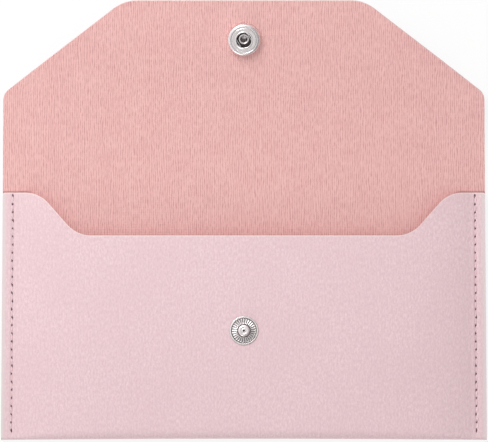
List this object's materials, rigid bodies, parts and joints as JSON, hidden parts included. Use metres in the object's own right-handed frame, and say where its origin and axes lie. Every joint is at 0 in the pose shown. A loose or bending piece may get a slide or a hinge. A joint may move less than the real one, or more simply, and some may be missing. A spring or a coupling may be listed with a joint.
{
  "type": "envelope wallet",
  "caption": "Flat pink leatherette envelope wallet for banknotes, lying open, with a curved pocket mouth, sewn sides and a fold-over flap closed by a snap.",
  "frame": {"origin": "on the ground, under the middle of the open wallet", "axes": "+X along the width, to the right as seen from the front; +Y from the pocket's bottom towards the open flap; +Z out of the front panel"},
  "size_m": [0.177, 0.1598, 0.0138],
  "materials": {
    "leatherette": "fine matte grain",
    "backing": "knitted",
    "thread": "twisted",
    "nickel": "bright",
    "spring_steel": "drawn"
  },
  "bodies": {
    "pocket": {"pocket_sheet": "leatherette", "left_needle_thread": "thread", "left_bobbin_thread": "thread", "right_needle_thread": "thread", "right_bobbin_thread": "thread", "snap_stud": "nickel", "snap_stud_post": "nickel"},
    "flap": {"flap_sheet": "backing", "snap_socket": "nickel", "socket_spring_left": "spring_steel", "socket_spring_right": "spring_steel", "snap_cap": "nickel", "snap_cap_post": "nickel"}
  },
  "joints": [
    {"name": "flap_fold", "type": "hinge", "parent": "pocket", "child": "flap", "pos_m": [0, 0.01297, 0.0025], "axis": [1, 0, 0], "range_deg": [0, 163.6]}
  ]
}
